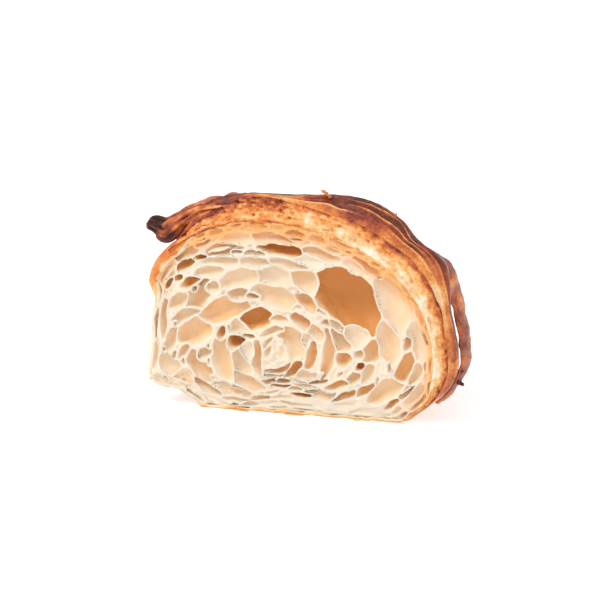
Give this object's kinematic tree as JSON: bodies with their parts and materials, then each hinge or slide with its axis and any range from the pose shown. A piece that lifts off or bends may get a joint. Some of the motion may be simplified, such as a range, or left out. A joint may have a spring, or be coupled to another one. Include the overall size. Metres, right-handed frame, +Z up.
{
  "type": "half croissant",
  "caption": "Butter croissant cut in half across its middle, with an open rolled crumb at the cut face, a ridged glossy crust and a rounded horn",
  "frame": {"origin": "under the middle of the piece's box, on the table that it lies on", "axes": "+Z up; the cut face looks towards -Y and the horn points towards +Y; +X is to the right when looking at the cut face"},
  "size_m": [0.0896, 0.076, 0.0583],
  "materials": {
    "crust": "baked golden to dark brown crust, egg-washed and glossy on the ridges, matt and flaky where layers show"
  },
  "bodies": {
    "root": {"half_croissant": "crust"}
  },
  "joints": []
}
